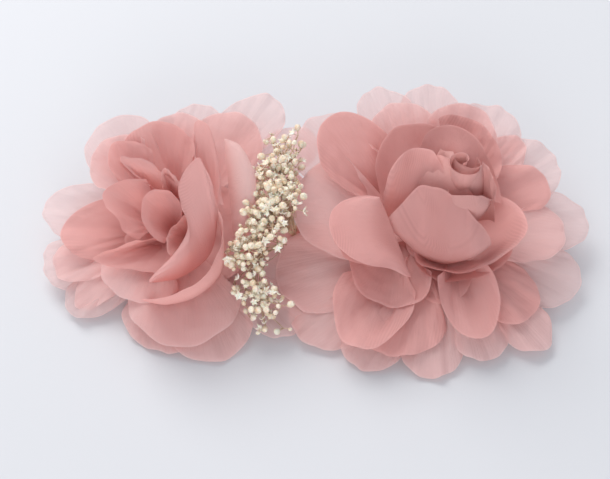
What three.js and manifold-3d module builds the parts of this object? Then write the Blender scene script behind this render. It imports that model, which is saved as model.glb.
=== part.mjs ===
// Flower hair clip: two layered chiffon flowers and a spray of dried baby's breath on a felt backing,
// carried by a flat sprung metal clip. Millimetres, +Z up, z = 0 is the surface it lies on.
import * as THREE from 'three';
import Module from 'manifold-3d';

const wasm = await Module();
wasm.setup();
const { Manifold, Mesh } = wasm;

// cloth and colours
const petalThick = 0.6;          // a chiffon petal with its rolled edge
const organza = { color: 0xe8bdb8, roughness: 0.55 };
const chiffon = { color: 0xdb9c95, roughness: 0.6 };
const heart = { color: 0xcf8880, roughness: 0.6 };
const dried = { color: 0xe6d7b8, roughness: 0.85 };
const feltColor = { color: 0xe3c3bd, roughness: 0.95 };
const steel = { color: 0xb9bcc0, roughness: 0.3, metalness: 1 };

// felt backing
const feltZ = 9.0;               // underside of the strip
const feltThick = 1.4;
const feltLength = 128;
const feltWidth = 12;
const discR = 14;                // round base under each flower
const discThick = 1.2;
const gap = 0.3;                 // clearance between neighbours

// baby's breath
const stemR = 0.4;
const budR = 1.5;

// clip
const armLength = 76;
const armWidth = 8;
const armThick = 0.9;
const armZ = feltZ - gap - armThick;   // underside of the upper arm
const hingeX = 22;
const hingeZ = 5.6;
const pinR = 0.8;
const pinPlay = 0.05;
const earThick = 0.7;
const seatZ = hingeZ - pinR - 0.9;      // top of the lower arm where it passes under the pin
const toothPitch = 3;
const toothHeight = 0.8;

const group = new THREE.Group();
group.name = 'flower_hair_clip';

function add(name, geometry, { color, roughness, metalness = 0 }) {
  const material = new THREE.MeshStandardMaterial({ color, roughness, metalness });
  const mesh = new THREE.Mesh(geometry, material);
  mesh.name = name;
  group.add(mesh);
}

// solids joined and cut
function solid(geometry) {
  const spots = new Map();
  const points = [];
  const index = [];
  const source = geometry.index ? geometry.toNonIndexed() : geometry;
  const p = source.attributes.position;
  for (let i = 0; i < p.count; i += 3) {
    const corner = [0, 1, 2].map((k) => {
      const xyz = [p.getX(i + k), p.getY(i + k), p.getZ(i + k)];
      const key = xyz.map((v) => Math.round(v * 1e4)).join();
      if (!spots.has(key)) {
        spots.set(key, points.length / 3);
        points.push(...xyz);
      }
      return spots.get(key);
    });
    if (new Set(corner).size === 3) index.push(...corner);
  }
  return new Manifold(new Mesh({
    numProp: 3, vertProperties: new Float32Array(points), triVerts: new Uint32Array(index),
  }));
}

function geometryOf(manifold) {
  const mesh = manifold.getMesh();
  const geometry = new THREE.BufferGeometry();
  geometry.setAttribute('position', new THREE.BufferAttribute(new Float32Array(mesh.vertProperties), 3));
  geometry.setIndex(new THREE.BufferAttribute(new Uint32Array(mesh.triVerts), 1));
  geometry.computeVertexNormals();
  return geometry;
}

const joined = (...geometries) => geometryOf(Manifold.union(geometries.map(solid)));

// A side outline in X and Z, given a width in Y about y
function sideCut(outline, width, y = 0, holes = []) {
  const shape = new THREE.Shape(outline.map(([x, z]) => new THREE.Vector2(x, z)));
  for (const [x, z, r] of holes) {
    const hole = new THREE.Path();
    hole.absarc(x, z, r, 0, 2 * Math.PI, true);
    shape.holes.push(hole);
  }
  const cut = new THREE.ExtrudeGeometry(shape, { depth: width, bevelEnabled: false, curveSegments: 12 });
  cut.rotateX(Math.PI / 2);
  return cut.translate(0, y + width / 2, 0);
}

function discOf(r, thick, x, y, z, sides = 28) {
  const cylinder = new THREE.CylinderGeometry(r, r, thick, sides);
  cylinder.rotateX(Math.PI / 2);
  return cylinder.translate(x, y, z + thick / 2);
}

// petals
const radians = THREE.MathUtils.degToRad;

// A petal is cut as a round lobe on a narrow root, then laid on a bowl that turns round the
// flower's axis. Its left edge lies lower than its right, so that neighbours shingle.
function petal({ az, root, base, length, width, rise, shingle = 0, waist = 0.3 }) {
  const geometry = new THREE.BoxGeometry(2, 1, 1, 8, 4, 1);
  const [low, high] = rise.map(radians);
  const bow = (high - low) / length;
  const spread = radians(122);
  const place = geometry.attributes.position;
  for (let i = 0; i < place.count; i += 1) {
    const across = -place.getX(i);
    const along = place.getY(i) + 0.5;
    const side = place.getZ(i) * petalThick;
    const lobe = spread * across;
    const x = (1 - along) * waist * width / 2 * across + along * width / 2 * Math.sin(lobe);
    const y = along * length * (0.56 + 0.44 * Math.cos(lobe));
    const tilt = low + bow * y;
    const r = root + (Math.sin(tilt) - Math.sin(low)) / bow;
    const z = base - (Math.cos(tilt) - Math.cos(low)) / bow;
    const turn = x / r;
    const lift = side + shingle * turn;
    const out = r - lift * Math.sin(tilt);
    const where = radians(az) + turn;
    place.setXYZ(i, out * Math.cos(where), out * Math.sin(where), z + lift * Math.cos(tilt));
  }
  return geometry;
}

// Rings of petals from the outside in. lengths runs anticlockwise from the ring's first petal, and
// the outer ring is left open towards the other flower, where the felt runs through.
function flower(side, centre, rings) {
  for (const { name, start, lengths, step = 360 / lengths.length, lean = 8, look, ...shape } of rings) {
    lengths.forEach((length, i) => {
      const geometry = petal({ ...shape, az: start + step * i, length });
      geometry.translate(0, 0, -shape.base);
      geometry.rotateX(radians(lean));
      geometry.translate(centre[0], centre[1], shape.base);
      geometry.computeVertexNormals();
      add(`${side}_${name}_petal_${i + 1}`, geometry, look);
    });
  }
}

const rightCentre = [43.8, -0.5];
const leftCentre = [-49.2, 3.4];
const rootZ = feltZ + feltThick + gap + discThick;   // top of the base discs

flower('right', rightCentre, [
  { name: 'outer', start: -132, step: 44.5, lengths: [49, 47.5, 47, 47.7, 48, 48.5, 49], root: 9,
    base: rootZ + 2.3, width: 42, rise: [5, -38], shingle: 2, lean: 0, look: organza },
  { name: 'second', start: 20, lengths: [45, 50, 51, 36, 36, 38], root: 8, base: rootZ + 7.3,
    width: 46, rise: [12, 8], shingle: 2, look: organza },
  { name: 'middle', start: 55, lengths: [40, 42, 36, 38, 36], root: 7, base: rootZ + 11,
    width: 44, rise: [30, 22], shingle: 1.6, look: chiffon },
  { name: 'cup', start: 10, lengths: [32, 33, 31, 30], root: 6.5, base: rootZ + 14.2,
    width: 34, rise: [60, 46], shingle: 1.3, look: chiffon, waist: 0.4 },
  { name: 'bud', start: 60, lengths: [27, 28, 27], root: 3.8, base: rootZ + 15.6,
    width: 21, rise: [84, 74], shingle: 0.8, look: heart, waist: 0.5 },
]);

flower('left', leftCentre, [
  { name: 'outer', start: 45, step: 45, lengths: [44, 42, 42, 42.5, 42, 43.5, 44], root: 9,
    base: rootZ + 2.3, width: 37, rise: [4, -41], shingle: 2, lean: 0, look: organza },
  { name: 'second', start: 50, lengths: [46, 38, 38, 37, 33], root: 7.5, base: rootZ + 7.3,
    width: 42, rise: [14, 6], shingle: 2, look: organza },
  { name: 'middle', start: 100, lengths: [34, 33, 32, 30, 30], root: 7, base: rootZ + 11,
    width: 36, rise: [34, 22], shingle: 1.6, look: chiffon },
  { name: 'inner', start: 75, lengths: [27, 27, 26, 26], root: 6.5, base: rootZ + 14.2,
    width: 29, rise: [60, 44], shingle: 1.3, look: chiffon, waist: 0.4 },
  { name: 'heart', start: 160, lengths: [19, 20], root: 3.6, base: rootZ + 15.6,
    width: 20, rise: [82, 66], shingle: 0.8, look: heart, waist: 0.5 },
]);

// dried baby's breath
// A stem with side twigs that go round it by the golden angle; every twig ends in a round bud
function spray(name, spine, twigs, reach = 4.4) {
  const path = new THREE.CatmullRomCurve3(spine.map((p) => new THREE.Vector3(...p)));
  const tube = (curve, r, steps) => {
    const section = new THREE.Shape();
    section.absarc(0, 0, r, 0, 2 * Math.PI);
    return new THREE.ExtrudeGeometry(section, {
      steps, extrudePath: curve, bevelEnabled: false, curveSegments: 3,
    });
  };
  const bud = (at) => new THREE.IcosahedronGeometry(budR, 0).translate(at.x, at.y, at.z);
  const parts = [tube(path, stemR, 8), bud(path.getPoint(1))];
  for (let i = 0; i < twigs; i += 1) {
    const t = 0.35 + 0.62 * i / twigs;
    const turn = radians(137.5 * i);
    const ahead = path.getTangent(t).multiplyScalar(1.5);
    const from = path.getPoint(t);
    const to = from.clone().add(ahead);
    to.x += reach * Math.cos(turn);
    to.z += reach * (0.5 + 0.5 * Math.abs(Math.sin(turn)));
    parts.push(tube(new THREE.LineCurve3(from, to), stemR, 1), bud(to));
  }
  add(name, joined(...parts), dried);
}

spray('baby_breath_upper_spray', [[-6, 2, 12], [-7, 8, 25], [-8, 21, 35.5], [-11, 35, 36]], 14);
spray('baby_breath_middle_spray', [[-5, -1, 12], [-7, -4, 22], [-12, -10, 30], [-19, -17, 30]], 12);
spray('baby_breath_lower_spray', [[-7, -3, 12], [-8, -14, 18], [-11, -25, 18], [-15, -36, 10]], 14);

// felt backing
function feltBacking() {
  const half = feltLength / 2 - feltWidth / 2;
  const shape = new THREE.Shape();
  shape.absarc(half, 0, feltWidth / 2, -Math.PI / 2, Math.PI / 2);
  shape.absarc(-half, 0, feltWidth / 2, Math.PI / 2, 1.5 * Math.PI);
  const strip = new THREE.ExtrudeGeometry(shape, { depth: feltThick, bevelEnabled: false, curveSegments: 12 });
  add('felt_backing_strip', strip.translate(-3, 0, feltZ), feltColor);
  const discZ = feltZ + feltThick + gap;
  add('right_flower_base_disc', discOf(discR, discThick, ...rightCentre, discZ), feltColor);
  add('left_flower_base_disc', discOf(discR, discThick, ...leftCentre, discZ), feltColor);
}
feltBacking();

// sprung metal clip
const tipX = -armLength / 2;
const tailX = armLength / 2;
const tabX = tailX - 7;          // where the lower arm's flat thumb tab begins
const armSheet = 0.8;            // sheet the lower arm is bent from

// Flat arm glued under the felt, with two ears folded down round the hinge pin
function upperArm() {
  const half = armWidth / 2;
  const plan = new THREE.Shape();
  plan.absarc(tipX + half, 0, half, Math.PI / 2, 1.5 * Math.PI);
  plan.absarc(tailX - half, 0, half, -Math.PI / 2, Math.PI / 2);
  const plate = new THREE.ExtrudeGeometry(plan, { depth: armThick, bevelEnabled: false, curveSegments: 8 });
  plate.translate(0, 0, armZ);
  const ear = [[hingeX - 6, armZ + armThick / 2], [hingeX - 2, hingeZ - 1.8], [hingeX + 2, hingeZ - 1.8],
    [hingeX + 6, armZ + armThick / 2]];
  const hole = [[hingeX, hingeZ, pinR + pinPlay]];
  const ears = [-1, 1].map((s) => sideCut(ear, earThick, s * (half - earThick / 2), hole));
  add('clip_upper_arm', joined(plate, ...ears), steel);
}

// Toothed jaw, bowed below the upper arm, with a tail that is pressed to open it
function lowerArm() {
  const jawEnd = hingeX - 5;
  const top = [];
  const jawZ = (x) => armZ - gap - toothHeight - 1.3 * (x - tipX) / (jawEnd - tipX);
  for (let x = tipX + 1; x < jawEnd - toothPitch; x += toothPitch) {
    top.push([x, jawZ(x)], [x + toothPitch / 2, jawZ(x) + toothHeight]);
  }
  const outline = [
    ...top, [jawEnd, jawZ(jawEnd)], [hingeX - 2, seatZ], [hingeX + 4, seatZ], [tabX, armSheet],
    [tailX - 1, armSheet], [tailX - 1, 0], [tabX, 0], [hingeX + 4, seatZ - armSheet], [hingeX - 2, seatZ - armSheet],
    [jawEnd, jawZ(jawEnd) - armSheet], [tipX + 1, jawZ(tipX + 1) - armSheet],
  ];
  const width = armWidth - 2 * earThick - 2 * gap;
  const strip = sideCut(outline.reverse(), width);
  const ear = [[hingeX - 1.9, seatZ - armSheet / 2], [hingeX + 3.5, seatZ - armSheet / 2],
    [hingeX + 1.5, hingeZ + 1.5], [hingeX - 1.5, hingeZ + 1.5]];
  const hole = [[hingeX, hingeZ, pinR + pinPlay]];
  const ears = [-1, 1].map((s) => sideCut(ear, earThick, s * (width / 2 - earThick / 2), hole));
  add('clip_lower_arm', joined(strip, ...ears), steel);
}

function hingePin() {
  const half = armWidth / 2;
  const headR = 1.3;
  const reach = half + gap / 3;
  const profile = [[0, -reach - 0.6], [headR, -reach - 0.6], [headR, -reach], [pinR, -reach],
    [pinR, reach], [headR, reach], [headR, reach + 0.6], [0, reach + 0.6]];
  const pin = new THREE.LatheGeometry(profile.map(([r, y]) => new THREE.Vector2(r, y)), 20);
  add('clip_hinge_pin', pin.translate(hingeX, 0, hingeZ), steel);
}

// Bent leaf between the two tails; it flattens as the tail is pressed
function leafSpring() {
  const thick = 0.4;
  const top = armZ - gap;
  const low = armSheet + gap;
  const bendX = hingeX + 5;
  const outline = [
    [tailX - 3, top], [bendX + 0.6, top], [bendX, top - thick], [bendX, top - 3 * thick],
    [tailX - 4, low], [tailX - 2.5, low], [tailX - 2.5, low + thick], [tailX - 3.9, low + thick],
    [bendX + thick, top - 2.6 * thick], [bendX + 0.9, top - thick], [tailX - 3, top - thick],
  ];
  add('clip_leaf_spring', sideCut(outline, 4), steel);
}

upperArm();
lowerArm();
hingePin();
leafSpring();

export default group;
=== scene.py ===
import math

import bpy
import numpy as np
from mathutils import Matrix, Vector


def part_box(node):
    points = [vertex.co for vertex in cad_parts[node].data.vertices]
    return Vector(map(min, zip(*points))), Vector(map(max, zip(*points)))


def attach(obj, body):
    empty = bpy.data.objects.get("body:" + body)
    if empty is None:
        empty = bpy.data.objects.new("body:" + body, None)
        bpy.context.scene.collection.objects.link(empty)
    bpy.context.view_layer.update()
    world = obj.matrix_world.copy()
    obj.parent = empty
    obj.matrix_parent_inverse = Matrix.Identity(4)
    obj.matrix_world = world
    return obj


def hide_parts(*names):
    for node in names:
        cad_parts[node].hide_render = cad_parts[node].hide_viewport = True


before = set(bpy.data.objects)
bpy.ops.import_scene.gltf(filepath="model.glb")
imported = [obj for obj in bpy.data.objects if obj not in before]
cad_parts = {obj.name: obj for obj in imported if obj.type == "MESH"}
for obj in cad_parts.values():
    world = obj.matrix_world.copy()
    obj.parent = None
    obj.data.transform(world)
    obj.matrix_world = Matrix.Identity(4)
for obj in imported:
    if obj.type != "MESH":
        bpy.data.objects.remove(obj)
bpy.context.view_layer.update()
rootBody = "flowers_and_upper_arm"
millimetre = 0.001
print("frame loaded:", len(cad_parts), "nodes")

# the cut and fold of one petal, in millimetres and degrees
petalGrid = {"rays": 72, "rings": 44}
ringRoot = {  # how far out each ring of petals is sewn on, and at what height
    "outer": (10, 11.5), "second": (8, 12.5), "middle": (6, 13), "cup": (0, 12), "inner": (0, 14),
    "bud": (0, 28), "heart": (0, 14),
}
fold = {  # how the cloth falls, unless a petal says otherwise
    "longerOuter": 1.04, "shoulder": 0.13, "rootWidth": 0.07, "belly": 0.55, "crown": 1.5,
    "ragged": 0.009, "ruffle": 0.98, "ruffles": (2.2, 3.7, 6.3),
    "gather": 0.55, "gathers": 7, "gatherSpread": 0.9, "gatherWidth": (0.05, 0.16), "gatherFade": (1.2, 3.2),
    "crumple": 0.38, "crumples": (0.8, 0.5, 0.3, 0.18), "valleyEnd": 0.85,
    "roll": 28, "lip": 0.045, "fullReach": 35, "widestCut": 5.2,
}
flowerHeart = np.array([0, 0, 45])
lowestRim = {"height": 0.6, "wave": 0.4, "perMillimetre": 0.4}


def phase(noise):
    return noise.uniform(0, 6.28)


def curveThrough(points, count):
    # a smooth line through a few points, with its own points evenly spaced along it
    held = np.array(points, float)
    held = np.vstack([2 * held[0] - held[1], held, 2 * held[-1] - held[-2]])
    t = np.linspace(0, 1, 24, endpoint=False)[:, None]
    pieces = []
    for a, b, c, d in zip(held[:-3], held[1:-2], held[2:-1], held[3:]):
        cubic = 3 * (b - c) + d - a
        pieces.append(b + 0.5 * t * (c - a + t * (2 * a - 5 * b + 4 * c - d + t * cubic)))
    line = np.vstack(pieces + [held[-2:-1]])
    run = np.concatenate([[0], np.cumsum(np.linalg.norm(np.diff(line, axis=0), axis=1))])
    even = np.linspace(0, run[-1], count)
    return np.stack([np.interp(even, run, line[:, k]) for k in range(3)], 1)


def patchArea(grid):
    a, b = grid[1:, 1:] - grid[:-1, :-1], grid[1:, :-1] - grid[:-1, 1:]
    return np.linalg.norm(np.cross(a, b), axis=2).sum() / 2


def flatArea(flat):
    return patchArea(np.dstack([flat, np.zeros(flat.shape[:2])]))


def edgeLine(edge, shape, centre, count):
    # reach and rise change smoothly along the fan; a fold's edge runs through its few points
    if isinstance(edge, list):
        return curveThrough(edge, count)
    marks = np.linspace(0, 1, len(edge["reach"]))
    part, reach, rise = curveThrough(list(zip(marks, edge["reach"], edge["rise"])), 8 * count).T
    even = np.linspace(0, 1, count)
    angle = np.radians(shape["heading"] + shape["fan"] * (even - 0.5))
    reach, rise = np.interp(even, part, reach), np.interp(even, part, rise)
    reach = reach * shape.get("longer", 1)
    if "hem" not in shape:  # round shoulders where the rim meets the sides
        reach = reach * (1 - fold["shoulder"] * np.abs(2 * even - 1) ** 6)
    return np.stack([centre[0] + reach * np.cos(angle), centre[1] + reach * np.sin(angle), rise], 1)


def petalEdges(ring, shape, rays):
    # a petal spreads from its root to its rim, or stands on a hem
    out, rootRise = ringRoot[ring]
    heading = math.radians(shape.get("heading", 0))
    root = shape.get("root", (out * math.cos(heading), out * math.sin(heading)))
    centre = shape.get("about", root)
    rim = edgeLine(shape.get("rim", shape), shape, centre, rays + 1)
    if "hem" not in shape:
        sewn = np.array([root[0], root[1], rootRise])
        foot = sewn + fold["rootWidth"] * (rim - rim.mean(0))
        return foot, sewn + fold["belly"] * (rim - sewn) + (0, 0, shape.get("crown", fold["crown"])), rim
    if shape["hem"] == "straight":
        foot = curveThrough([rim[0], (rim[0] + rim[-1]) / 2, rim[-1]], rays + 1)
    else:
        foot = edgeLine(shape["hem"], shape, centre, rays + 1)
    full = 1 - np.abs(np.linspace(-1, 1, rays + 1))[:, None] ** 3  # the swell fades to both ends
    return foot, (foot + rim) / 2 + full * shape["swell"], rim


def clothLift(shape, tau, rho, noise):
    lift = np.zeros((rho.size, tau.size))
    for count in fold["ruffles"]:  # the rim ruffles
        lift += fold["ruffle"] / count * rho ** 3 * np.sin(count * tau * 3.14 + phase(noise))
    for gather in range(fold["gathers"]):  # gathers run out from the root and fade
        at = noise.uniform(-fold["gatherSpread"], fold["gatherSpread"])
        width = noise.uniform(*fold["gatherWidth"])
        fade = rho ** 0.7 * np.exp(-rho * noise.uniform(*fold["gatherFade"])) * 2
        depth = shape.get("gather", fold["gather"]) * noise.uniform(-1, 1)
        lift += depth * fade * np.exp(-((tau - at) / width) ** 2)
    for size in fold["crumples"]:  # soft crumpling
        heading = phase(noise)
        wave = (tau * math.cos(heading) * 0.9 + rho * math.sin(heading)) / size * 6.28
        bend = 0.8 * np.sin((rho * math.cos(heading) - tau * math.sin(heading)) * 5 + phase(noise))
        lift += fold["crumple"] * size * rho ** 0.6 * np.sin(wave + bend + phase(noise))
    for at, depth, width in shape.get("valleys", []):  # the deep folds
        along = np.sin(np.clip(rho / fold["valleyEnd"], 0, 1) * 3.14) ** 1.2
        lift -= depth * np.exp(-((tau - at) / width) ** 2) * along
    return lift


def rollRim(points, normal, shape, tau, noise):
    # the rim rolls back over a short reach
    rings = len(points) - 1
    start = int(round((1 - shape.get("lip", fold["lip"])) * rings))
    outward = points[start] - points[start - 1]
    outward /= np.maximum(np.linalg.norm(outward, axis=1), 1e-6)[:, None]
    angle = math.radians(shape.get("roll", fold["roll"])) * (0.8 + 0.2 * np.sin(tau * 4 + phase(noise)))
    radius = np.linalg.norm(points[-1] - points[start], axis=1) / angle
    for ring in range(start + 1, rings + 1):
        turn = angle * ((ring - start) / (rings - start))
        ahead, back = (radius * np.sin(turn))[:, None], (radius * (1 - np.cos(turn)))[:, None]
        points[ring] = points[start] + outward * ahead - normal[start] * back


def flatCut(points, rho):
    # every ray keeps its length, and neighbouring rays keep their distance at the rim
    rays = np.linalg.norm(np.diff(points, axis=0), axis=2).sum(0)
    steps = np.linalg.norm(np.diff(points[-1], axis=0), axis=1)
    cosine = (rays[1:] ** 2 + rays[:-1] ** 2 - steps ** 2) / (2 * rays[1:] * rays[:-1])
    turn = np.concatenate([[0], np.cumsum(np.arccos(np.clip(cosine, -1, 1)))])
    turn = (turn - turn[-1] / 2) * min(1, fold["widestCut"] / turn[-1])
    flat = np.stack([rho * rays * np.sin(turn), rho * rays * np.cos(turn)], 2)
    return flat * math.sqrt(patchArea(points) / flatArea(flat))  # cloth keeps its area


def petalShape(ring, shape, seed):
    noise = np.random.default_rng(seed)
    foot, middle, rim = petalEdges(ring, shape, petalGrid["rays"])
    tau = np.linspace(-1, 1, petalGrid["rays"] + 1)
    rho = np.linspace(0, 1, petalGrid["rings"] + 1)[:, None]
    wobble = sum(noise.uniform(0.2, 1) * np.sin(count * tau + phase(noise)) for count in (5, 9, 14))
    s = (rho * (1 + wobble * fold["ragged"] * rho ** 4))[:, :, None]
    points = foot * (1 - s) * (1 - 2 * s) + middle * 4 * s * (1 - s) + rim * s * (2 * s - 1)
    normal = np.cross(np.gradient(points, axis=1), np.gradient(points, axis=0))
    normal /= np.maximum(np.linalg.norm(normal, axis=2), 1e-6)[:, :, None]
    if ((flowerHeart - points) * normal).sum() < 0:
        normal = -normal  # the inner face looks at the heart of the flower
    lift = clothLift(shape, tau[None], rho, noise)
    reach = np.linalg.norm(rim - foot, axis=1).mean()
    points = points + normal * lift[:, :, None] * min(reach / fold["fullReach"], 1)
    rollRim(points, normal, shape, tau, noise)
    return points, flatCut(points, rho), np.stack([tau + 0 * rho, rho + 0 * tau], 2)


# Every petal of a flower: heading and fan in degrees about its root, and then, from one end of its
# rim to the other, how far the rim reaches from there and how high it stands, in millimetres.
# A fold that doubles back gives its rim as a few points instead.

rightMiddle = (43.8, -0.5)
rightPetals = {
    "outerPetal1": dict(heading=217, fan=40, reach=(45, 50, 44), rise=(8, 4, 3), cloth="layered"),
    "outerPetal2": dict(heading=242, fan=36, reach=(43, 45, 38), rise=(4, 2, 4), cloth="layered"),
    "outerPetal3": dict(heading=313, fan=34, reach=(37, 46, 35), rise=(5, 4, 8), cloth="layered"),
    "outerPetal4": dict(heading=8, fan=36, reach=(40, 45, 37), rise=(10, 12, 18)),
    "outerPetal5": dict(heading=33, fan=40, reach=(36, 42, 37), rise=(18, 22, 27)),
    "outerPetal6": dict(heading=90, fan=38, reach=(36, 44, 40), rise=(30, 31, 30)),
    "outerPetal7": dict(heading=111, fan=32, reach=(39, 46, 43), rise=(31, 31, 29)),
    "outerPetal8": dict(heading=139, fan=42, reach=(41, 51, 47), rise=(28, 26, 21), stands=7),
    "outerPetal9": dict(heading=338, fan=40, reach=(35, 43, 41), rise=(6, 6, 11), stands=3),
    "outerPetal10": dict(heading=268, fan=40, reach=(38, 42, 36), rise=(4, 2, 4), cloth="layered",
                         stands=2),
    "outerPetal11": dict(heading=61, fan=44, reach=(36, 42, 37), rise=(26, 28, 30), stands=5),
    "outerPetal12": dict(heading=293, fan=40, reach=(35, 39, 34), rise=(5, 4, 7), cloth="layered",
                         stands=3),
    "secondPetal1": dict(heading=28, fan=46, reach=(36, 34, 18), rise=(20, 27, 28), cloth="chiffon"),
    "secondPetal2": dict(heading=69, fan=66, reach=(25, 36, 31), rise=(31, 36, 36)),
    "secondPetal3": dict(heading=144, fan=78, root=(-12, 8), reach=(22, 36, 33, 16),
                         rise=(37, 40, 35, 26), cloth="chiffon"),
    "secondPetal4": dict(heading=178, fan=82, reach=(39, 43, 25), rise=(31, 23, 17)),
    "secondPetal5": dict(heading=248, fan=76, root=(-13, -8), reach=(27, 42, 22), rise=(18, 12, 16),
                         crown=-0.5, valleys=[(0.3, 2.6, 0.13), (-0.25, 2.2, 0.14)], cloth="chiffon"),
    "secondPetal6": dict(heading=323, fan=54, root=(7, -8), reach=(33, 36, 24), rise=(10, 10, 14),
                         cloth="chiffon"),
    "secondPetal7": dict(heading=285, fan=78, root=(6, -10), reach=(18, 35, 16), rise=(23, 13, 22),
                         crown=-0.5, valleys=[(0.1, 1.4, 0.16), (-0.4, 1.2, 0.12)], cloth="chiffon",
                         stands=6),
    "secondPetal8": dict(heading=259, fan=54, root=(-4, -10), reach=(42, 38, 31), rise=(9, 7, 9),
                         cloth="chiffon", stands=5),
    "secondPetal9": dict(heading=354, fan=54, root=(7, -2), reach=(22, 39, 37), rise=(16, 15, 20),
                         stands=1),
    "secondPetal10": dict(heading=200, fan=54, root=(-13, -5), reach=(40, 46, 38), rise=(17, 10, 8),
                          stands=4),
    "secondPetal11": dict(heading=111, fan=56, reach=(33, 38, 30), rise=(34, 35, 33), stands=3),
    "secondPetal12": dict(heading=45, fan=34, reach=(29, 38, 28), rise=(24, 28, 30), stands=2),
    "middlePetal1": dict(heading=58, fan=80, root=(5, 6), reach=(20, 26, 29), rise=(30, 39, 41)),
    "middlePetal2": dict(heading=130, fan=124, root=(-2, 8), reach=(18, 23, 17), rise=(42, 40, 28),
                         hem=dict(reach=(13, 9, 14), rise=(37, 32, 22)), swell=(0, 0, -2)),
    "middlePetal3": dict(heading=211, fan=180, root=(-15, -13.5), reach=(11, 23, 20, 12, 11),
                         rise=(42, 39, 35, 29, 20), hem="straight", swell=(0, 0, 1)),
    "middlePetal4": dict(heading=257, fan=104, root=(-13, -4), reach=(20, 26, 27, 27, 20),
                         rise=(23, 18, 14, 15, 16), crown=-1),
    "middlePetal5": dict(heading=283, fan=124, root=(3, -4), reach=(16, 19, 28), rise=(17, 17, 25),
                         crown=-3),
    "middlePetal6": dict(heading=212, fan=66, root=(-13, -4), reach=(24, 25, 17), rise=(31, 27, 20),
                         stands=3),
    "middlePetal7": dict(heading=272, fan=92, root=(0, 1), reach=(18, 30, 20), rise=(14, 12, 15),
                         crown=-1, stands=4),
    "middlePetal8": dict(heading=278, fan=140, root=(2, 2), reach=(16, 17, 24), rise=(15, 15, 20),
                         crown=-1, stands=5),
    "cupPetal1": dict(heading=305, fan=155, root=(3, -1), reach=(18, 20, 23, 29, 19),
                      rise=(20, 21, 24, 32, 31), crown=-4, roll=40, lip=0.06),
    "cupPetal2": dict(heading=68, fan=176, root=(6, 8), reach=(18, 12.5, 14.5, 17, 14),
                      rise=(30, 43, 46, 46, 42), hem=dict(reach=(12, 7, 3, 6, 9),
                      rise=(30, 37, 42, 40, 34)), swell=(0, 1, -1)),
    "cupPetal3": dict(heading=82, fan=179, root=(-8, -4), reach=(10.5, 10.5, 13.5, 13.5, 10.5),
                      rise=(46, 52, 53, 46, 31), hem=dict(reach=(9, 5.5, 3.5, 5, 10),
                      rise=(28, 16, 14, 14, 22)), swell=(-2, -3, 3)),
    "cupPetal4": dict(heading=84, fan=91, root=(0, -30), reach=(23.5, 21.5, 22.5, 26, 29),
                      rise=(31, 43, 50, 49, 32), hem=dict(reach=(23.5, 21, 20, 22, 28.5),
                      rise=(29, 16, 10, 14, 30)), swell=(0, -8, -1)),
    "budPetal1": dict(heading=230, fan=87, root=(10, 12), reach=(16, 11, 12, 19), rise=(46, 53, 53, 48),
                      hem=dict(reach=(21, 20, 20, 19), rise=(40, 40, 38, 36)), swell=(0, -1, 2)),
    "budPetal2": dict(heading=150, fan=500, root=(7.5, 0), reach=(0.3, 2, 4, 5.5, 6.5),
                      rise=(57, 58.5, 58, 57, 54), hem=dict(reach=(0.3, 1.2, 3, 5, 6.5),
                      rise=(53, 50, 46, 42, 38)), swell=(0, 0, 0.5)),
    "budPetal3": dict(heading=268, fan=120, root=(8, 2), reach=(12, 12, 11.5, 12, 12),
                      rise=(40, 48, 51, 49, 41), hem=dict(reach=(12, 11, 11, 11, 12),
                      rise=(38, 32, 30, 32, 38)), swell=(0, -2, 1)),
    "budPetal4": dict(heading=237, fan=153, root=(10, 7), reach=(10, 6, 7.5, 9, 7),
                      rise=(51, 56, 56, 56, 55), hem=dict(reach=(12, 9.5, 11, 12.5, 9.5),
                      rise=(44, 44, 42, 40, 42)), swell=(0, -1, 2), stands=2),
    "budPetal5": dict(heading=80, fan=150, root=(13, -7), reach=(5.5, 8, 6), rise=(48, 54, 50),
                      hem=dict(reach=(7, 4, 8), rise=(30, 26, 28)), swell=(1, -1, 1), stands=1),
}

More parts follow.
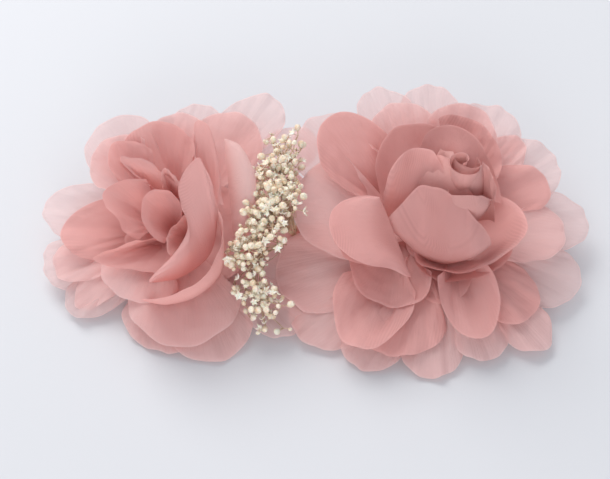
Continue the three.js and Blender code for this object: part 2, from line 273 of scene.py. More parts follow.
leftMiddle = (-49.2, 3.4)
leftPetals = {
    "outerPetal1": dict(heading=55, fan=38, reach=(41, 47, 35), rise=(26, 29, 28)),
    "outerPetal2": dict(heading=83, fan=40, reach=(33, 34, 26), rise=(28, 28, 28)),
    "outerPetal3": dict(heading=128, fan=60, reach=(31, 35, 30), rise=(28, 27, 24)),
    "outerPetal4": dict(heading=170, fan=40, reach=(26, 38, 33), rise=(21, 15, 10)),
    "outerPetal5": dict(heading=197, fan=40, reach=(34, 39, 35), rise=(10, 7, 5)),
    "outerPetal6": dict(heading=256, fan=54, reach=(27, 34, 38), rise=(4, 2, 3), crown=0,
                        cloth="layered"),
    "outerPetal7": dict(heading=290, fan=56, reach=(37, 41, 35), rise=(4, 2, 6), crown=0,
                        cloth="layered"),
    "outerPetal8": dict(heading=317, fan=32, reach=(38, 47, 42), rise=(5, 4, 8), stands=7),
    "outerPetal9": dict(heading=35, fan=26, reach=(43, 49, 41), rise=(19, 23, 25), stands=1),
    "outerPetal10": dict(heading=222, fan=40, reach=(35, 37, 25), rise=(6, 3, 5), stands=5),
    "outerPetal11": dict(heading=340, fan=60, reach=(40, 39, 24), rise=(6, 10, 17), cloth="layered",
                         stands=7),
    "outerPetal12": dict(heading=16, fan=42, reach=(30, 37, 30), rise=(15, 20, 25), cloth="layered",
                         stands=1),
    "secondPetal1": dict(heading=56, fan=62, reach=(30, 36, 27), rise=(26, 32, 32)),
    "secondPetal2": dict(heading=140, fan=66, reach=(23, 29, 25), rise=(33, 31, 26)),
    "secondPetal3": dict(heading=190, fan=56, reach=(18, 34, 25), rise=(26, 19, 13), cloth="chiffon"),
    "secondPetal4": dict(heading=221, fan=36, reach=(29, 38, 21), rise=(12, 5, 10)),
    "secondPetal5": dict(heading=270, fan=98, root=(2, -9), reach=(29, 38, 33), rise=(10, 6, 11),
                         crown=3, valleys=[(0.25, 1.3, 0.12), (-0.25, 0.8, 0.14)], gather=0.3),
    "secondPetal6": dict(heading=204, fan=42, reach=(35, 39, 25), rise=(12, 9, 12), stands=4),
    "secondPetal7": dict(heading=88, fan=58, reach=(24, 28, 25), rise=(33, 34, 33), stands=1),
    "secondPetal8": dict(heading=245, fan=78, reach=(29, 27, 24), rise=(15, 12, 14), crown=3, stands=4),
    "middlePetal1": dict(heading=103, fan=96, reach=(16, 26, 25), rise=(33, 35, 30)),
    "middlePetal2": dict(heading=192, fan=84, root=(-4, 0), reach=(8, 21, 18, 17), rise=(37, 33, 28, 22)),
    "middlePetal3": dict(root=(0, -5), rim=[(-13, -16, 26), (-29, -20, 22), (-15, -23, 19),
                         (0, -24, 19)]),
    "middlePetal4": dict(heading=310, fan=126, root=(-2, -15), reach=(24, 24, 22.5, 20.5, 18),
                         rise=(22, 28, 32, 36, 38), hem=dict(reach=(18, 16, 17.5, 19.5, 19),
                         rise=(11, 10, 12, 15, 22)), swell=(1, -2, 0)),
    # this petal's pale cloth is painted light, lifting it out of the shade of its neighbours
    "middlePetal5": dict(heading=7, fan=170, root=(18, 0), reach=(15.5, 12, 11, 11.5, 17),
                         rise=(19, 31, 40, 45, 43), hem="straight", swell=(1, -1, 4), cloth="pale"),
    "middlePetal6": dict(heading=138, fan=62, reach=(17, 26, 15), rise=(34, 33, 27), stands=1),
    "middlePetal7": dict(heading=240, fan=94, root=(0, -2), reach=(21, 19, 17), rise=(17, 16, 16),
                         stands=3),
    "middlePetal8": dict(heading=345, fan=150, root=(5, -3), reach=(26, 23, 20), rise=(11, 16, 22),
                         stands=4),
    "innerPetal1": dict(root=(11, -4), crown=6, rim=[(9, -4, 32), (7, 12, 41), (7, 22, 46), (12, 20, 46),
                        (16, 7, 42), (17, -6, 34)]),
    "innerPetal2": dict(root=(0, 1), crown=4, rim=[(-9, 2, 35), (-18, 9, 38), (-18, 11, 41), (-7, 6, 42),
                        (3, -1, 38)]),
    "innerPetal3": dict(heading=138, fan=260, about=(-3, -9), root=(1, -4), reach=(7, 6.5, 8.5, 8, 7),
                        rise=(33, 38, 38, 31, 24)),
    "innerPetal4": dict(rim=[(16, -9, 38), (11, 2, 47), (8, 4, 48), (2, -5, 43), (5, -18, 35),
                        (-8, -31, 24)], hem=[(16, -8, 34), (13, -20, 25), (3, -28, 22), (-8, -32, 24)],
                        swell=(1, -1, 2)),
    "heartPetal1": dict(heading=170, fan=152, about=(6, -18), root=(5, -6), reach=(8, 7.5, 8.5, 9),
                        rise=(35, 32, 29, 25)),
    "heartPetal2": dict(root=(3, 0), rim=[(-4, -2, 37), (-4, 3, 42), (-2, 4, 43), (2, -1, 41),
                        (4, -4, 38)]),
}


# node helpers


def newGroup(name, inputs, outputs):
    group = bpy.data.node_groups.new(name, "ShaderNodeTree")
    for socket, kind, value in inputs:
        made = group.interface.new_socket(socket, in_out="INPUT", socket_type=kind)
        if value is not None:
            made.default_value = value
    for socket, kind in outputs:
        group.interface.new_socket(socket, in_out="OUTPUT", socket_type=kind)
    return group, group.nodes.new("NodeGroupInput"), group.nodes.new("NodeGroupOutput")


def mathNode(tree, operation, a, b):
    node = tree.nodes.new("ShaderNodeMath")
    node.operation = operation
    for socket, value in zip(node.inputs, (a, b)):
        if isinstance(value, (int, float)):
            socket.default_value = value
        else:
            tree.links.new(value, socket)
    return node.outputs[0]


def sineNode(tree, value):
    node = tree.nodes.new("ShaderNodeMath")
    node.operation = "SINE"
    tree.links.new(value, node.inputs[0])
    return node.outputs[0]


def mixColor(tree, factor, a, b, blend="MIX"):
    node = tree.nodes.new("ShaderNodeMix")
    node.data_type, node.blend_type = "RGBA", blend
    for socket, value in ((node.inputs[0], factor), (node.inputs[6], a), (node.inputs[7], b)):
        if isinstance(value, (int, float, tuple)):
            socket.default_value = value
        else:
            tree.links.new(value, socket)
    return node.outputs[2]


def rampNode(tree, value, low, high):
    node = tree.nodes.new("ShaderNodeMapRange")
    node.interpolation_type = "SMOOTHSTEP"
    tree.links.new(value, node.inputs["Value"])
    node.inputs["From Min"].default_value, node.inputs["From Max"].default_value = low, high
    return node.outputs["Result"]


def noiseNode(tree, vector, scale, detail, rough=0.5):
    node = tree.nodes.new("ShaderNodeTexNoise")
    tree.links.new(vector, node.inputs["Vector"])
    for socket, value in (("Scale", scale), ("Detail", detail), ("Roughness", rough)):
        node.inputs[socket].default_value = value
    return node.outputs["Fac"]


def scaled(tree, vector, factors):
    node = tree.nodes.new("ShaderNodeMapping")
    tree.links.new(vector, node.inputs["Vector"])
    node.inputs["Scale"].default_value = factors
    return node.outputs["Vector"]


def bumpNode(tree, height, strength, distance):
    node = tree.nodes.new("ShaderNodeBump")
    node.inputs["Strength"].default_value, node.inputs["Distance"].default_value = strength, distance
    tree.links.new(height, node.inputs["Height"])
    return node.outputs[0]


def blendShaders(tree, factor, first, second):
    node = tree.nodes.new("ShaderNodeMixShader")
    if isinstance(factor, float):
        node.inputs[0].default_value = factor
    else:
        tree.links.new(factor, node.inputs[0])
    tree.links.new(first, node.inputs[1])
    tree.links.new(second, node.inputs[2])
    return node.outputs[0]


# plain weave: warp and weft threads over the flat cut, with the faint watered bands of two sheer layers
weave, weaveIn, weaveOut = newGroup(
    "chiffonWeave",
    [("Cut", "NodeSocketVector", None), ("Threads", "NodeSocketFloat", 260.0)],
    [("Height", "NodeSocketFloat"), ("Watered", "NodeSocketFloat")],
)
spread = weave.nodes.new("ShaderNodeVectorMath")
spread.operation = "SCALE"
weave.links.new(weaveIn.outputs["Cut"], spread.inputs[0])
weave.links.new(weaveIn.outputs["Threads"], spread.inputs["Scale"])
axes = weave.nodes.new("ShaderNodeSeparateXYZ")
weave.links.new(spread.outputs[0], axes.inputs[0])
warp = sineNode(weave, mathNode(weave, "MULTIPLY", axes.outputs[0], 2 * math.pi))
weft = sineNode(weave, mathNode(weave, "MULTIPLY", axes.outputs[1], 2 * math.pi))
weave.links.new(mathNode(weave, "MULTIPLY", warp, weft), weaveOut.inputs["Height"])
bands = weave.nodes.new("ShaderNodeTexWave")
for socket, value in (("Scale", 26.0), ("Distortion", 5.0), ("Detail", 1.0), ("Detail Scale", 0.35)):
    bands.inputs[socket].default_value = value
weave.links.new(weaveIn.outputs["Cut"], bands.inputs["Vector"])
patch = rampNode(weave, noiseNode(weave, weaveIn.outputs["Cut"], 3.0, 0.0), 0.5, 0.68)
weave.links.new(mathNode(weave, "MULTIPLY", bands.outputs["Fac"], patch), weaveOut.inputs["Watered"])


def petalColor(tree, look, rim, along, watered, where):
    # painted shade: the colour darkens towards the root, where the petals crowd together in the heart of the
    # flower
    rootShadeMask = rampNode(tree, along, 0.55, 0.0)
    blush = rampNode(tree, noiseNode(tree, where, 28.0, 2.0), 0.35, 0.7)
    color = look["color"]
    # the rim turns paler: partly the lighter heat-sealed hem, partly a painted highlight along the edge
    for mask, amount, tint in (
        (rootShadeMask, look["rootShadeDepth"], "deep"), (blush, 0.35, "pale"),
        (watered, look["watered"], "deep"), (rim, look["rimHighlight"], "pale"),
    ):
        color = mixColor(tree, mathNode(tree, "MULTIPLY", mask, amount), color, look[tint])
    return color


def petalRelief(tree, look, threads, lobe, cut):
    fibres = noiseNode(tree, scaled(tree, lobe, (16.0, 1.2, 1.0)), 1.6, 3.0, 0.55)
    crease = noiseNode(tree, scaled(tree, cut, (9.0, 9.0, 1.0)), 1.0, 3.0, 0.6)
    height = mathNode(tree, "MULTIPLY", threads, look["weaveDepth"])
    for layer, depth in ((fibres, "fibreDepth"), (crease, "creaseDepth")):
        height = mathNode(tree, "ADD", height, mathNode(tree, "MULTIPLY", layer, look[depth]))
    return bumpNode(tree, height, 0.6, 0.001)


def petalMaterial(name, look):
    material = bpy.data.materials.new(name)
    material.use_nodes = True
    tree = material.node_tree
    tree.nodes.clear()
    cut, lobe = tree.nodes.new("ShaderNodeUVMap"), tree.nodes.new("ShaderNodeUVMap")
    cut.uv_map, lobe.uv_map = "cut", "lobe"
    where = tree.nodes.new("ShaderNodeTexCoord").outputs["Object"]
    threads = tree.nodes.new("ShaderNodeGroup")
    threads.node_tree = weave
    threads.inputs["Threads"].default_value = look["threads"]
    tree.links.new(cut.outputs[0], threads.inputs["Cut"])
    parts = tree.nodes.new("ShaderNodeSeparateXYZ")
    tree.links.new(lobe.outputs[0], parts.inputs[0])
    # the last band at the rim: a painted highlight in the colour, and a denser rolled hem that lets less
    # through
    rim = rampNode(tree, parts.outputs[1], 0.975, 1.0)
    outer = rampNode(tree, parts.outputs[1], 0.3, 0.85)
    color = petalColor(tree, look, rim, parts.outputs[1], threads.outputs["Watered"], where)
    relief = petalRelief(tree, look, threads.outputs["Height"], lobe.outputs[0], cut.outputs[0])
    cloth = tree.nodes.new("ShaderNodeBsdfPrincipled")
    tree.links.new(color, cloth.inputs["Base Color"])
    cloth.inputs["Roughness"].default_value = look["roughness"]
    cloth.inputs["Sheen Weight"].default_value = look["sheen"]
    cloth.inputs["Sheen Roughness"].default_value = 0.4
    cloth.inputs["Sheen Tint"].default_value = (1.0, 0.86, 0.84, 1)
    cloth.inputs["Specular IOR Level"].default_value = 0.25
    tree.links.new(relief, cloth.inputs["Normal"])
    glow = tree.nodes.new("ShaderNodeBsdfTranslucent")
    tree.links.new(mixColor(tree, 1.0, color, look["glowTint"], "MULTIPLY"), glow.inputs["Color"])
    tree.links.new(relief, glow.inputs["Normal"])
    lit = blendShaders(tree, look["glow"], cloth.outputs[0], glow.outputs[0])
    through = tree.nodes.new("ShaderNodeBsdfTransparent")
    thin = mathNode(tree, "SUBTRACT", outer, mathNode(tree, "MULTIPLY", rim, 0.5))
    sheer = blendShaders(tree, mathNode(tree, "MULTIPLY", thin, look["seeThrough"]), lit, through.outputs[0])
    out = tree.nodes.new("ShaderNodeOutputMaterial")
    tree.links.new(sheer, out.inputs["Surface"])
    return material


# the root weight of each cloth is painted shade, darkening it towards the root
organzaLook = {
    "color": (0.97, 0.71, 0.69, 1), "deep": (0.88, 0.50, 0.47, 1), "pale": (0.99, 0.82, 0.81, 1),
    "glowTint": (1.0, 0.93, 0.91, 1), "threads": 220.0, "rootShadeDepth": 0.5, "rimHighlight": 0.35, "watered": 0.10,
    "weaveDepth": 0.10, "fibreDepth": 0.5, "creaseDepth": 0.5,
    "roughness": 0.55, "sheen": 0.15, "glow": 0.50, "seeThrough": 0.30,
}
layeredLook = {
    **organzaLook, "color": (0.95, 0.62, 0.595, 1), "deep": (0.82, 0.41, 0.38, 1),
    "seeThrough": 0.06, "glow": 0.46,
}
# a paler, nearly opaque copy of the organza: painted light for a petal that lies in its neighbour's shade
litPaleLook = {**organzaLook, "seeThrough": 0.04, "glow": 0.5}
chiffonLook = {
    "color": (0.80, 0.415, 0.39, 1), "deep": (0.46, 0.145, 0.125, 1), "pale": (0.92, 0.57, 0.545, 1),
    "glowTint": (1.0, 0.78, 0.72, 1), "threads": 260.0, "rootShadeDepth": 0.75, "rimHighlight": 0.35, "watered": 0.20,
    "weaveDepth": 0.10, "fibreDepth": 0.4, "creaseDepth": 0.5,
    "roughness": 0.62, "sheen": 0.12, "glow": 0.26, "seeThrough": 0.03,
}
softChiffonLook = {
    **chiffonLook, "color": (0.86, 0.49, 0.465, 1), "deep": (0.60, 0.22, 0.20, 1), "glow": 0.36,
}
heartLook = {**chiffonLook, "color": (0.80, 0.42, 0.39, 1), "glow": 0.14, "seeThrough": 0.02, "watered": 0.16}
clothOf = {
    "organza": petalMaterial("organzaPetal", organzaLook),
    "layered": petalMaterial("layeredPetal", layeredLook),
    "pale": petalMaterial("litPalePetal", litPaleLook),
    "softChiffon": petalMaterial("softChiffonPetal", softChiffonLook),
    "chiffon": petalMaterial("chiffonPetal", chiffonLook),
    "heart": petalMaterial("chiffonHeart", heartLook),
}
print("petal cloth made")

# fine grain over a piece: blotches for its colour and a small height for its surface
grain, grainIn, grainOut = newGroup(
    "fineGrain",
    [("Place", "NodeSocketVector", None), ("Blotch", "NodeSocketFloat", 120.0),
     ("Fibre", "NodeSocketFloat", 900.0)],
    [("Mask", "NodeSocketFloat"), ("Height", "NodeSocketFloat")],
)
for socket, source, detail in (("Mask", "Blotch", 3.0), ("Height", "Fibre", 4.0)):
    cloud = grain.nodes.new("ShaderNodeTexNoise")
    cloud.inputs["Detail"].default_value, cloud.inputs["Roughness"].default_value = detail, 0.6
    grain.links.new(grainIn.outputs["Place"], cloud.inputs["Vector"])
    grain.links.new(grainIn.outputs[source], cloud.inputs["Scale"])
    grain.links.new(cloud.outputs["Fac"], grainOut.inputs[socket])


def grainMaterial(name, look):
    material = bpy.data.materials.new(name)
    material.use_nodes = True
    tree = material.node_tree
    shader = tree.nodes["Principled BSDF"]
    where = tree.nodes.new("ShaderNodeTexCoord").outputs["Object"]
    group = tree.nodes.new("ShaderNodeGroup")
    group.node_tree = grain
    tree.links.new(scaled(tree, where, look.get("stretch", (1.0, 1.0, 1.0))), group.inputs["Place"])
    group.inputs["Blotch"].default_value = look["blotch"]
    group.inputs["Fibre"].default_value = look["fibre"]
    spots = rampNode(tree, group.outputs["Mask"], 0.35, 0.68)
    tree.links.new(mixColor(tree, spots, look["color"], look["aged"]), shader.inputs["Base Color"])
    tree.links.new(bumpNode(tree, group.outputs["Height"], look["bump"], 0.0004), shader.inputs["Normal"])
    rough = tree.nodes.new("ShaderNodeMapRange")
    rough.inputs["To Min"].default_value, rough.inputs["To Max"].default_value = look["roughness"]
    tree.links.new(group.outputs["Height"], rough.inputs["Value"])
    tree.links.new(rough.outputs["Result"], shader.inputs["Roughness"])
    shader.inputs["Metallic"].default_value = look.get("metallic", 0.0)
    shader.inputs["Sheen Weight"].default_value = look.get("sheen", 0.0)
    shader.inputs["Specular IOR Level"].default_value = look.get("gloss", 0.3)
    shader.inputs["Subsurface Weight"].default_value = look.get("soft", 0.0)
    shader.inputs["Subsurface Scale"].default_value = 0.0015
    return material


driedBud = grainMaterial("driedBud", {
    "color": (0.90, 0.82, 0.68, 1), "aged": (0.74, 0.58, 0.40, 1), "blotch": 420.0, "fibre": 2600.0,
    "bump": 0.5, "roughness": (0.6, 0.85), "sheen": 0.15, "soft": 0.15,
})
driedFloret = grainMaterial("driedFloret", {
    "color": (0.94, 0.90, 0.80, 1), "aged": (0.80, 0.68, 0.52, 1), "blotch": 500.0, "fibre": 2600.0,
    "bump": 0.4, "roughness": (0.6, 0.85), "sheen": 0.15, "soft": 0.15,
})
driedStem = grainMaterial("driedStem", {
    "color": (0.66, 0.50, 0.34, 1), "aged": (0.42, 0.27, 0.17, 1), "blotch": 160.0, "fibre": 1800.0,
    "bump": 0.5, "roughness": (0.6, 0.9),
})
pinkFelt = grainMaterial("pinkFelt", {
    "color": (0.72, 0.34, 0.31, 1), "aged": (0.60, 0.25, 0.22, 1), "blotch": 200.0, "fibre": 2200.0,
    "bump": 1.0, "roughness": (0.85, 1.0), "sheen": 0.5,
})
brushedSteel = grainMaterial("brushedSteel", {
    "color": (0.62, 0.62, 0.63, 1), "aged": (0.50, 0.50, 0.52, 1), "blotch": 60.0, "fibre": 700.0,
    "stretch": (0.06, 1.0, 1.0), "bump": 0.12, "roughness": (0.22, 0.42), "metallic": 1.0, "gloss": 0.5,
})

# the petals
ringCloth = {
    "outer": ("organza", "organza_sheer"), "second": ("layered", "organza_sheer"),
    "bud": ("heart", "chiffon_heart"), "heart": ("heart", "chiffon_heart"),
}


def petalPiece(name, points, flat, lobe, material):
    rays, rings = petalGrid["rays"], petalGrid["rings"]
    first = (np.arange(rings)[:, None] * (rays + 1) + np.arange(rays)[None]).ravel()
    quads = np.stack([first, first + 1, first + rays + 2, first + rays + 1], 1)
    mesh = bpy.data.meshes.new(name)
    mesh.from_pydata((points.reshape(-1, 3) * millimetre).tolist(), [], quads.tolist())
    corners = np.empty(len(mesh.loops), int)
    mesh.loops.foreach_get("vertex_index", corners)
    for layer, values in (("cut", flat / 100), ("lobe", lobe)):
        uv = values.reshape(-1, 2)[corners].ravel()
        mesh.uv_layers.new(name=layer).data.foreach_set("uv", uv)
    mesh.materials.append(material)
    mesh.shade_smooth()
    mesh.update()
    piece = bpy.data.objects.new(name, mesh)
    bpy.context.collection.objects.link(piece)
    return piece


def petalRing(side, middle, petals, plainCloth):
    for number, (petal, shape) in enumerate(petals.items()):
        name = side + petal[0].upper() + petal[1:]
        ring, count = petal.split("Petal")
        if ring == "outer":
            shape = {**shape, "longer": fold["longerOuter"]}
        points, flat, lobe = petalShape(ring, shape, number + 11)
        points = points + (middle[0], middle[1], 0)
        wave = lowestRim["wave"] * np.sin(points[..., 0] * lowestRim["perMillimetre"])
        points[..., 2] = np.maximum(points[..., 2], lowestRim["height"] + wave)  # rims lie, none goes below
        cloth, slot = ringCloth.get(ring, (plainCloth, "chiffon_petal"))
        piece = petalPiece(name, points, flat, lobe, clothOf[shape.get("cloth", cloth)])
        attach(piece, rootBody)
        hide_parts(f"{side}_{ring}_petal_{shape.get('stands', count)}")


petalRing("right", rightMiddle, rightPetals, "chiffon")
petalRing("left", leftMiddle, leftPetals, "softChiffon")
print("petals made:", len(rightPetals) + len(leftPetals))

# baby's breath: dried sprays of cream buds and tiny open florets
babyBreath = {
    "budSize": 1.05, "floretSize": 1.5, "stemWidth": 0.16, "stalkWidth": 0.36, "crowd": 3,
    "sizes": (0.62, 1.3), "openShare": 0.3, "headReach": (2.0, 4.2), "twigTurn": 2.4,
    "upper": {
        "stalk": [(-6, 2, 12), (-10, 6, 25), (-11, 16, 32), (-9, 25, 33)],
        "crown": [(-14, -2, 37), (-13, 6, 38), (-12, 15, 38), (-9, 23, 37)], "twigs": 60, "spread": 8,
    },
    "middle": {
        "stalk": [(-6, -1, 12), (-12, -3, 22), (-17, -10, 27), (-22, -17, 26)],
        "crown": [(-13, 3, 37), (-15, -4, 36), (-19, -11, 33), (-24, -17, 30)], "twigs": 60, "spread": 8,
    },
    "lower": {
        "stalk": [(-8, -4, 12), (-18, -12, 20), (-21, -22, 18), (-15, -34, 8)],
        "crown": [(-22, -14, 30), (-24, -20, 27), (-21, -28, 20), (-15, -35, 12)], "twigs": 42, "spread": 7,
    },
}


def selectWhere(mesh, test):
    # picks vertices in edit mode by their place
    bpy.ops.mesh.select_all(action="DESELECT")
    bpy.ops.object.mode_set(mode="OBJECT")
    for vertex in mesh.vertices:
        vertex.select = test(vertex.co)
    bpy.ops.object.mode_set(mode="EDIT")


def budModel(size):
    # a closed bud: a small ball, drawn out at the top and puckered where its tips meet
    bpy.ops.object.select_all(action="DESELECT")
    bpy.ops.mesh.primitive_uv_sphere_add(segments=8, ring_count=5, radius=size)
    bud = bpy.context.object
    bpy.ops.object.mode_set(mode="EDIT")
    bpy.context.tool_settings.mesh_select_mode = (True, False, False)
    selectWhere(bud.data, lambda place: place.z > size * 0.2)
    bpy.ops.transform.translate(value=(0, 0, size * 0.25))
    selectWhere(bud.data, lambda place: place.z > size * 1.1)
    bpy.ops.transform.translate(value=(0, 0, -size * 0.35))
    selectWhere(bud.data, lambda place: place.z < -size * 0.9)
    bpy.ops.transform.translate(value=(0, 0, -size * 0.25))
    bpy.ops.object.mode_set(mode="OBJECT")
    return bud


def floretModel(size):
    # an open floret: a disc pinched into five petals, cupped and a little thick
    bpy.ops.object.select_all(action="DESELECT")
    bpy.ops.mesh.primitive_circle_add(vertices=10, radius=size, fill_type="TRIFAN")
    floret = bpy.context.object
    bpy.ops.object.mode_set(mode="EDIT")
    bpy.context.tool_settings.mesh_select_mode = (True, False, False)
    rim = [vertex.index for vertex in floret.data.vertices if vertex.co.length > size / 2]
    waists = {index for count, index in enumerate(rim) if count % 2}
    bpy.ops.mesh.select_all(action="DESELECT")
    bpy.ops.object.mode_set(mode="OBJECT")
    for vertex in floret.data.vertices:
        vertex.select = vertex.index in waists
    bpy.ops.object.mode_set(mode="EDIT")
    bpy.ops.transform.resize(value=(0.55, 0.55, 1))
    selectWhere(floret.data, lambda place: place.length > size * 0.8)
    bpy.ops.transform.translate(value=(0, 0, size * 0.45))
    bpy.ops.mesh.select_all(action="SELECT")
    bpy.ops.mesh.extrude_region_move(TRANSFORM_OT_translate={"value": (0, 0, -size * 0.22)})
    bpy.ops.mesh.select_all(action="SELECT")
    bpy.ops.mesh.normals_make_consistent(inside=False)
    bpy.ops.object.mode_set(mode="OBJECT")
    return floret


def bentLine(a, b, droop, count=6):
    a, b = np.array(a, float), np.array(b, float)
    knee = (a * 0.55 + b * 0.45) + droop
    t = np.linspace(0, 1, count)[:, None]
    return a * (1 - t) ** 2 + knee * 2 * t * (1 - t) + b * t ** 2


def stemCurve(name, lines, width):
    curve = bpy.data.curves.new(name, "CURVE")
    curve.dimensions, curve.bevel_depth = "3D", width * millimetre
    curve.bevel_resolution, curve.use_fill_caps = 0, True
    for line in lines:
        spline = curve.splines.new("POLY")
        spline.points.add(len(line) - 1)
        for point, place in zip(spline.points, line):
            point.co = (*(place * millimetre), 1)
    stems = bpy.data.objects.new(name, curve)
    bpy.context.collection.objects.link(stems)
    bpy.ops.object.select_all(action="DESELECT")
    stems.select_set(True)
    bpy.context.view_layer.objects.active = stems
    bpy.ops.object.convert(target="MESH")
    return bpy.context.object


def sprayPiece(name, spray, seed):
    noise = np.random.default_rng(seed)
    count = 60
    stalk, crown = curveThrough(spray["stalk"], count), curveThrough(spray["crown"], count)
    stalks, stems, heads = [stalk[::4]], [], []
    for twig in range(spray["twigs"]):
        along = (twig + 0.5) / spray["twigs"]
        turn = twig * babyBreath["twigTurn"]
        reach = spray["spread"] * math.sqrt(noise.uniform(0.05, 1))
        across, back = reach * math.cos(turn), reach * math.sin(turn)
        fork = crown[int(along * (count - 1))] + (across, back * 0.6, back * 0.35 + noise.uniform(-6, 1))
        leaves = 0  # the first twigs leave at the stalk's foot
        if along > 0.09:
            leaves = int(min(along * 0.9 + noise.uniform(-0.08, 0.08), 1) * (count - 1))
        stems.append(bentLine(stalk[leaves], fork, noise.normal(0, 1.2, 3)))
        for head in range(babyBreath["crowd"]):
            away = noise.normal(0, 1, 3)
            away = away / np.linalg.norm(away) * noise.uniform(*babyBreath["headReach"])
            away[2] = abs(away[2]) * 0.7 - 0.6
            tip = fork + away
            stems.append(bentLine(fork, tip, noise.normal(0, 0.35, 3), 4))
            size = noise.uniform(*babyBreath["sizes"])
            heads.append((tip, away + (0, 0, 1.5), size, noise.random() < babyBreath["openShare"]))
    parts = [
        stemCurve(name + "Stalk", stalks, babyBreath["stalkWidth"]),
        stemCurve(name + "Stems", stems, babyBreath["stemWidth"]),
    ]
    for part in parts:
        part.data.materials.append(driedStem)
    models = {
        False: budModel(babyBreath["budSize"] * millimetre),
        True: floretModel(babyBreath["floretSize"] * millimetre),
    }
    for tip, facing, size, isOpen in heads:
        part = models[isOpen].copy()
        part.data = models[isOpen].data.copy()
        part.data.materials.append(driedFloret if isOpen else driedBud)
        aim = Vector(facing).to_track_quat("Z", "Y")
        part.matrix_world = Matrix.LocRotScale(Vector(tip * millimetre), aim, (size,) * 3)
        bpy.context.collection.objects.link(part)
        parts.append(part)
    for model in models.values():
        bpy.data.objects.remove(model)
    bpy.ops.object.select_all(action="DESELECT")
    for part in parts:
        part.select_set(True)
    bpy.context.view_layer.objects.active = parts[0]
    bpy.ops.object.join()
    bpy.ops.object.transform_apply(location=True, rotation=True, scale=True)
    piece = bpy.context.object
    piece.name = name
    bpy.ops.object.shade_smooth_by_angle(angle=math.radians(50))
    return piece


for number, reach in enumerate(("upper", "middle", "lower")):
    spray = sprayPiece(f"babyBreath{reach.capitalize()}Spray", babyBreath[reach], number + 5)
    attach(spray, rootBody)
    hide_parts(f"baby_breath_{reach}_spray")
print("baby's breath made")

# felt backing and the clip
felt = {
    "stripLength": 0.128, "stripWidth": 0.012, "stripThick": 0.0014,
    "discRadius": 0.014, "discThick": 0.0012, "cutEdge": 0.0003,
}


def feltPiece(name, node):
    # cut felt: a prism with softened cut edges and a slightly uneven face
    piece = bpy.context.object
    piece.name = name
    bpy.ops.object.mode_set(mode="EDIT")
    bpy.context.tool_settings.mesh_select_mode = (False, False, True)
    bpy.ops.mesh.select_all(action="DESELECT")
    bpy.ops.object.mode_set(mode="OBJECT")
    for face in piece.data.polygons:
        face.select = abs(face.normal.z) > 0.9
    bpy.ops.object.mode_set(mode="EDIT")
    bpy.ops.mesh.inset(thickness=felt["cutEdge"] * 4)
    bpy.ops.mesh.inset(thickness=felt["cutEdge"] * 6)
    bpy.ops.object.mode_set(mode="OBJECT")
    bpy.ops.object.transform_apply(location=True, rotation=True, scale=True)
    soften = piece.modifiers.new("cutEdge", "BEVEL")
    soften.width, soften.segments, soften.limit_method = felt["cutEdge"], 2, "ANGLE"
    bpy.ops.object.modifier_apply(modifier=soften.name)
    bpy.ops.object.shade_smooth_by_angle(angle=math.radians(40))
    piece.data.materials.append(pinkFelt)
    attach(piece, rootBody)
    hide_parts(node)


stripLow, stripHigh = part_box("felt_backing_strip")
bpy.ops.object.select_all(action="DESELECT")
stripMiddle = [(low + high) / 2 for low, high in zip(stripLow, stripHigh)]
halfRun = felt["stripLength"] / 2 - felt["stripWidth"] / 2
bpy.ops.mesh.primitive_cylinder_add(
    vertices=48, radius=felt["stripWidth"] / 2, depth=felt["stripThick"], location=stripMiddle)
bpy.ops.object.mode_set(mode="EDIT")
bpy.context.tool_settings.mesh_select_mode = (True, False, False)
for side in (-1, 1):
    selectWhere(bpy.context.object.data, lambda place: place.x * side > 1e-6)
    bpy.ops.transform.translate(value=(side * halfRun, 0, 0))
bpy.ops.object.mode_set(mode="OBJECT")
feltPiece("feltBackingStrip", "felt_backing_strip")
for side in ("right", "left"):
    low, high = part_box(f"{side}_flower_base_disc")
    bpy.ops.object.select_all(action="DESELECT")
    discMiddle = [(a + b) / 2 for a, b in zip(low, high)]
    bpy.ops.mesh.primitive_cylinder_add(
        vertices=64, radius=felt["discRadius"], depth=felt["discThick"], location=discMiddle)
    feltPiece(f"{side}FeltDisc", f"{side}_flower_base_disc")
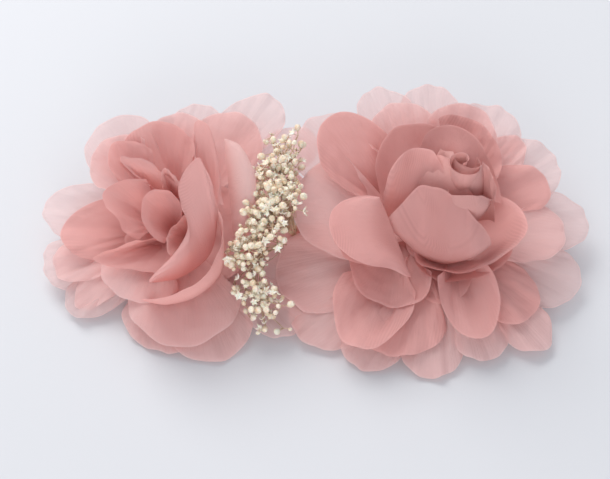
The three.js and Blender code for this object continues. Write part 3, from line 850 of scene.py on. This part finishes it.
for node in ("clip_upper_arm", "clip_lower_arm", "clip_hinge_pin", "clip_leaf_spring"):
    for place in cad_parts[node].material_slots:
        place.material = brushedSteel
print("felt and clip done")

# floor, light and camera
paper = bpy.data.materials.new("paleFloor")
paper.use_nodes = True
matt = paper.node_tree.nodes["Principled BSDF"]
matt.inputs["Base Color"].default_value = (0.62, 0.625, 0.65, 1)
matt.inputs["Roughness"].default_value = 0.9
bpy.ops.object.select_all(action="DESELECT")
bpy.ops.mesh.primitive_plane_add(size=6)
floor = bpy.context.object
floor.name = "floor"
floor.data.materials.append(paper)


def softLight(name, place, aim, size, watts, color):
    lamp = bpy.data.lights.new(name, "AREA")
    lamp.shape, lamp.size, lamp.energy, lamp.color = "DISK", size, watts, color
    light = bpy.data.objects.new(name, lamp)
    light.location = place
    light.rotation_euler = (Vector(aim) - Vector(place)).to_track_quat("-Z", "Y").to_euler()
    bpy.context.collection.objects.link(light)


softLight("windowLight", (-0.32, 0.6, 0.75), (0, 0.06, 0.02), 0.8, 8.5, (1.0, 0.985, 0.965))
softLight("frontFill", (-0.1, -0.95, 0.35), (0, 0, 0.02), 0.8, 4.0, (1.0, 0.98, 0.97))
world = bpy.data.worlds.new("studio")
world.use_nodes = True
sky = world.node_tree.nodes["Background"]
sky.inputs["Color"].default_value = (0.90, 0.94, 1.0, 1)
sky.inputs["Strength"].default_value = 0.70
bpy.context.scene.world = world
bpy.context.scene.view_settings.view_transform = "Standard"

camera = {"height": 55, "aim": (-0.003, -0.0037, 0.015), "distance": 0.725, "lens": 119}
lens = bpy.data.cameras.new("camera")
lens.lens, lens.sensor_width, lens.clip_start = camera["lens"], 36, 0.01
eye = bpy.data.objects.new("camera", lens)
tilt = math.radians(camera["height"])
eye.location = Vector(camera["aim"]) + Vector((0, -math.cos(tilt), math.sin(tilt))) * camera["distance"]
eye.rotation_euler = (math.pi / 2 - tilt, 0, 0)
bpy.context.collection.objects.link(eye)
bpy.context.scene.camera = eye
print("floor, light and camera set")
